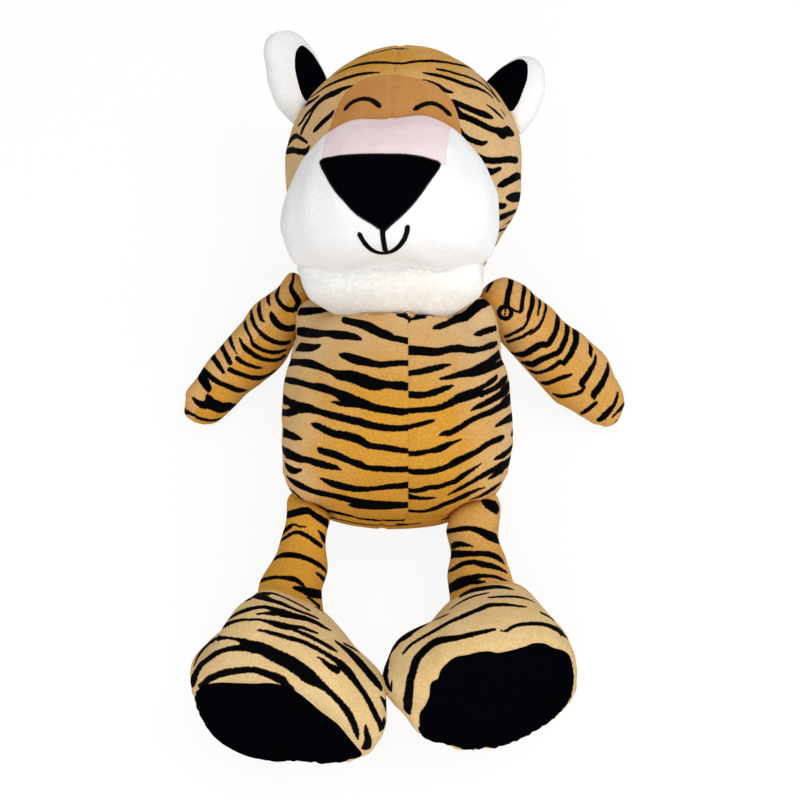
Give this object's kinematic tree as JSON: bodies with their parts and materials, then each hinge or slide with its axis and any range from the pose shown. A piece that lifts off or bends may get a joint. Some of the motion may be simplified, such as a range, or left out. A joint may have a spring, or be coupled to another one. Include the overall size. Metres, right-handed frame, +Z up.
{
  "type": "plush tiger pillow toy",
  "caption": "Stuffed tiger lying on its back, with a big muzzle, striped short pile, floppy arms and wide black-soled feet.",
  "frame": {"origin": "in the flat patch on the back that the toy rests on, under the middle of the torso", "axes": "+X to the toy's own left, +Y along the body towards the head, +Z up out of the belly and face"},
  "size_m": [0.3689, 0.6302, 0.228],
  "materials": {
    "striped_pile": "short golden tan pile with black stripes",
    "foot_pile": "short pale tan pile with black stripes",
    "brow_pile": "short brown pile",
    "white_plush": "soft white plush",
    "cream_plush": "deeper off-white plush",
    "pink_plush": "pale pink plush",
    "black_plush": "short black pile",
    "black_thread": "black satin stitching",
    "fibre_filling": "white polyester fibre"
  },
  "bodies": {
    "torso": {"torso_front_left_panel": "striped_pile", "torso_front_right_panel": "striped_pile", "torso_back_left_panel": "striped_pile", "torso_back_right_panel": "striped_pile", "torso_filling": "fibre_filling"},
    "head": {"head_left_panel": "striped_pile", "head_right_panel": "striped_pile", "brow_patch": "brow_pile", "chin_panel": "cream_plush", "muzzle_cover": "white_plush", "nose_bridge_panel": "pink_plush", "head_filling": "fibre_filling", "nose": "black_plush", "mouth_embroidery": "black_thread", "left_eye_embroidery": "black_thread", "right_eye_embroidery": "black_thread", "left_ear_lining": "black_plush", "left_ear_back": "white_plush", "left_ear_filling": "fibre_filling", "right_ear_lining": "black_plush", "right_ear_back": "white_plush", "right_ear_filling": "fibre_filling"},
    "left_arm": {"left_arm_upper_panel": "striped_pile", "left_arm_lower_panel": "striped_pile", "left_arm_filling": "fibre_filling"},
    "right_arm": {"right_arm_upper_panel": "striped_pile", "right_arm_lower_panel": "striped_pile", "right_arm_filling": "fibre_filling"},
    "left_leg": {"left_leg_cover": "striped_pile", "left_leg_filling": "fibre_filling"},
    "right_leg": {"right_leg_cover": "striped_pile", "right_leg_filling": "fibre_filling"},
    "left_foot": {"left_foot_upper": "foot_pile", "left_foot_sole": "black_plush", "left_foot_filling": "fibre_filling"},
    "right_foot": {"right_foot_upper": "foot_pile", "right_foot_sole": "black_plush", "right_foot_filling": "fibre_filling"}
  },
  "joints": [
    {"name": "neck_nod", "type": "hinge", "parent": "torso", "child": "head", "pos_m": [0.009, 0.19, 0.0981], "axis": [-0.9914, 0.0489, -0.121], "range_deg": [0, 20]},
    {"name": "left_shoulder", "type": "hinge", "parent": "torso", "child": "left_arm", "pos_m": [0.0925, 0.098, 0.06117], "axis": [0, 0, 1], "range_deg": [0, 40]},
    {"name": "right_shoulder", "type": "hinge", "parent": "torso", "child": "right_arm", "pos_m": [-0.0895, 0.098, 0.06117], "axis": [0, 0, -1], "range_deg": [0, 40]},
    {"name": "left_hip", "type": "hinge", "parent": "torso", "child": "left_leg", "pos_m": [0.0635, -0.1045, 0.052], "axis": [-1, 0, 0], "range_deg": [0, 45]},
    {"name": "right_hip", "type": "hinge", "parent": "torso", "child": "right_leg", "pos_m": [-0.066, -0.108, 0.052], "axis": [-1, 0, 0], "range_deg": [0, 45]},
    {"name": "left_ankle", "type": "hinge", "parent": "left_leg", "child": "left_foot", "pos_m": [0.0704, -0.17013, 0.05131], "axis": [-1, 0, 0], "range_deg": [-15, 15], "stiffness_Nm_per_rad": 0.3},
    {"name": "right_ankle", "type": "hinge", "parent": "right_leg", "child": "right_foot", "pos_m": [-0.07972, -0.17255, 0.05131], "axis": [-1, 0, 0], "range_deg": [-15, 15], "stiffness_Nm_per_rad": 0.3}
  ]
}
